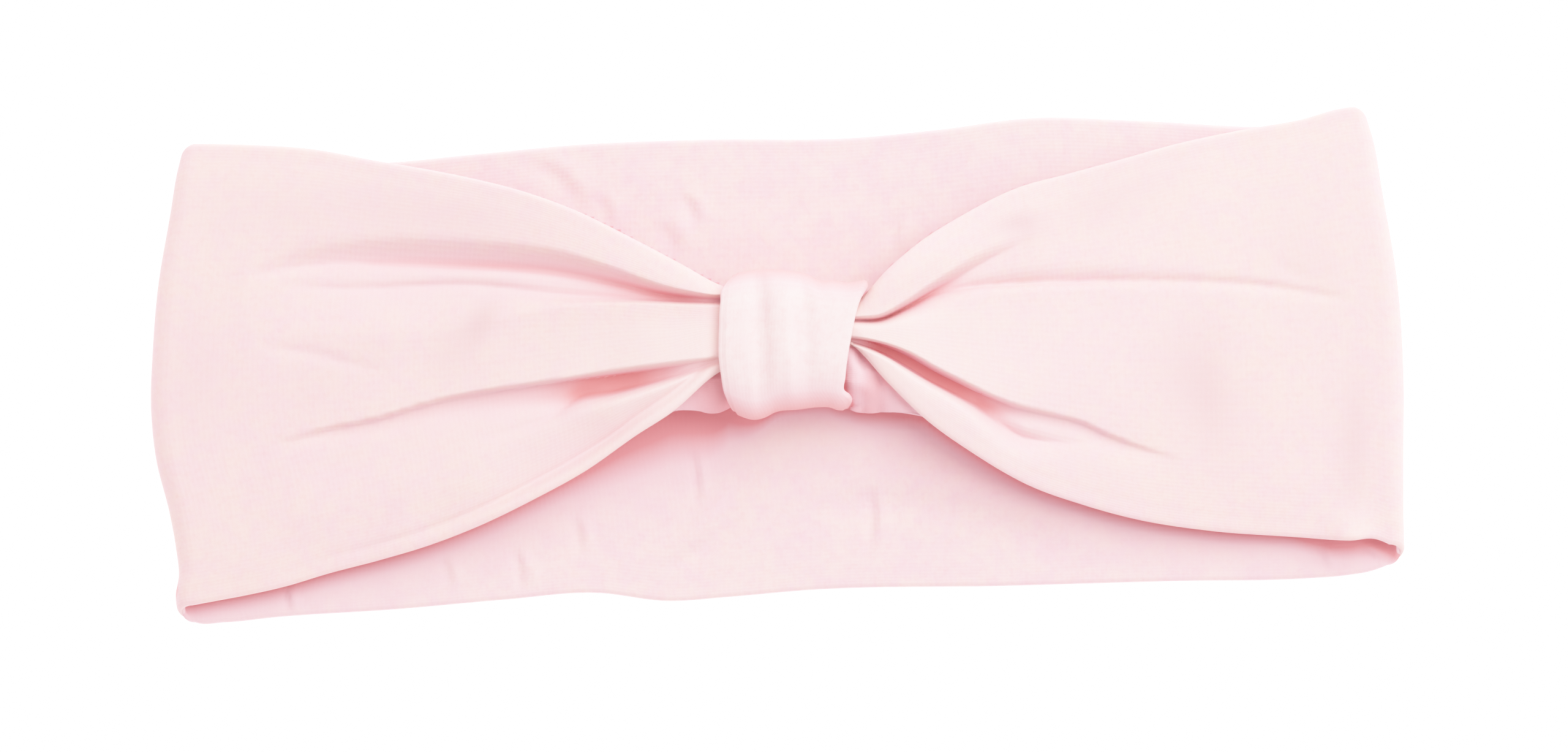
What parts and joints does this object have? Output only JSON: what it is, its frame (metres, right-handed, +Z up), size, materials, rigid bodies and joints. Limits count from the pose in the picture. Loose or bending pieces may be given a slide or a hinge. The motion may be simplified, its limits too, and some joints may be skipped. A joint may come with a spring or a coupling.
{
  "type": "sports headband",
  "caption": "Soft two-layer jersey headband lying flat: a wide stretch loop gathered at the front under a narrow centre wrap.",
  "frame": {"origin": "on the surface the headband lies on, under the middle of its bounding box", "axes": "+X along the band from the left lobe to the right lobe, +Y across the band towards its upper edge, +Z up, out of the front panel"},
  "size_m": [0.2402, 0.0916, 0.0205],
  "materials": {
    "outer_jersey": "matte fine cotton jersey, pale pink",
    "lining_jersey": "matte fine cotton jersey, pale pink",
    "wrap_jersey": "matte fine cotton jersey, pale pink",
    "sewing_thread": "matte spun polyester thread, pale pink"
  },
  "bodies": {
    "root": {"band_outer": "outer_jersey", "band_lining": "lining_jersey", "centre_wrap": "wrap_jersey", "upper_edge_thread": "sewing_thread", "lower_edge_thread": "sewing_thread", "end_join_thread": "sewing_thread", "gathering_thread": "sewing_thread", "wrap_seam_thread": "sewing_thread", "wrap_closing_thread": "sewing_thread"}
  },
  "joints": []
}
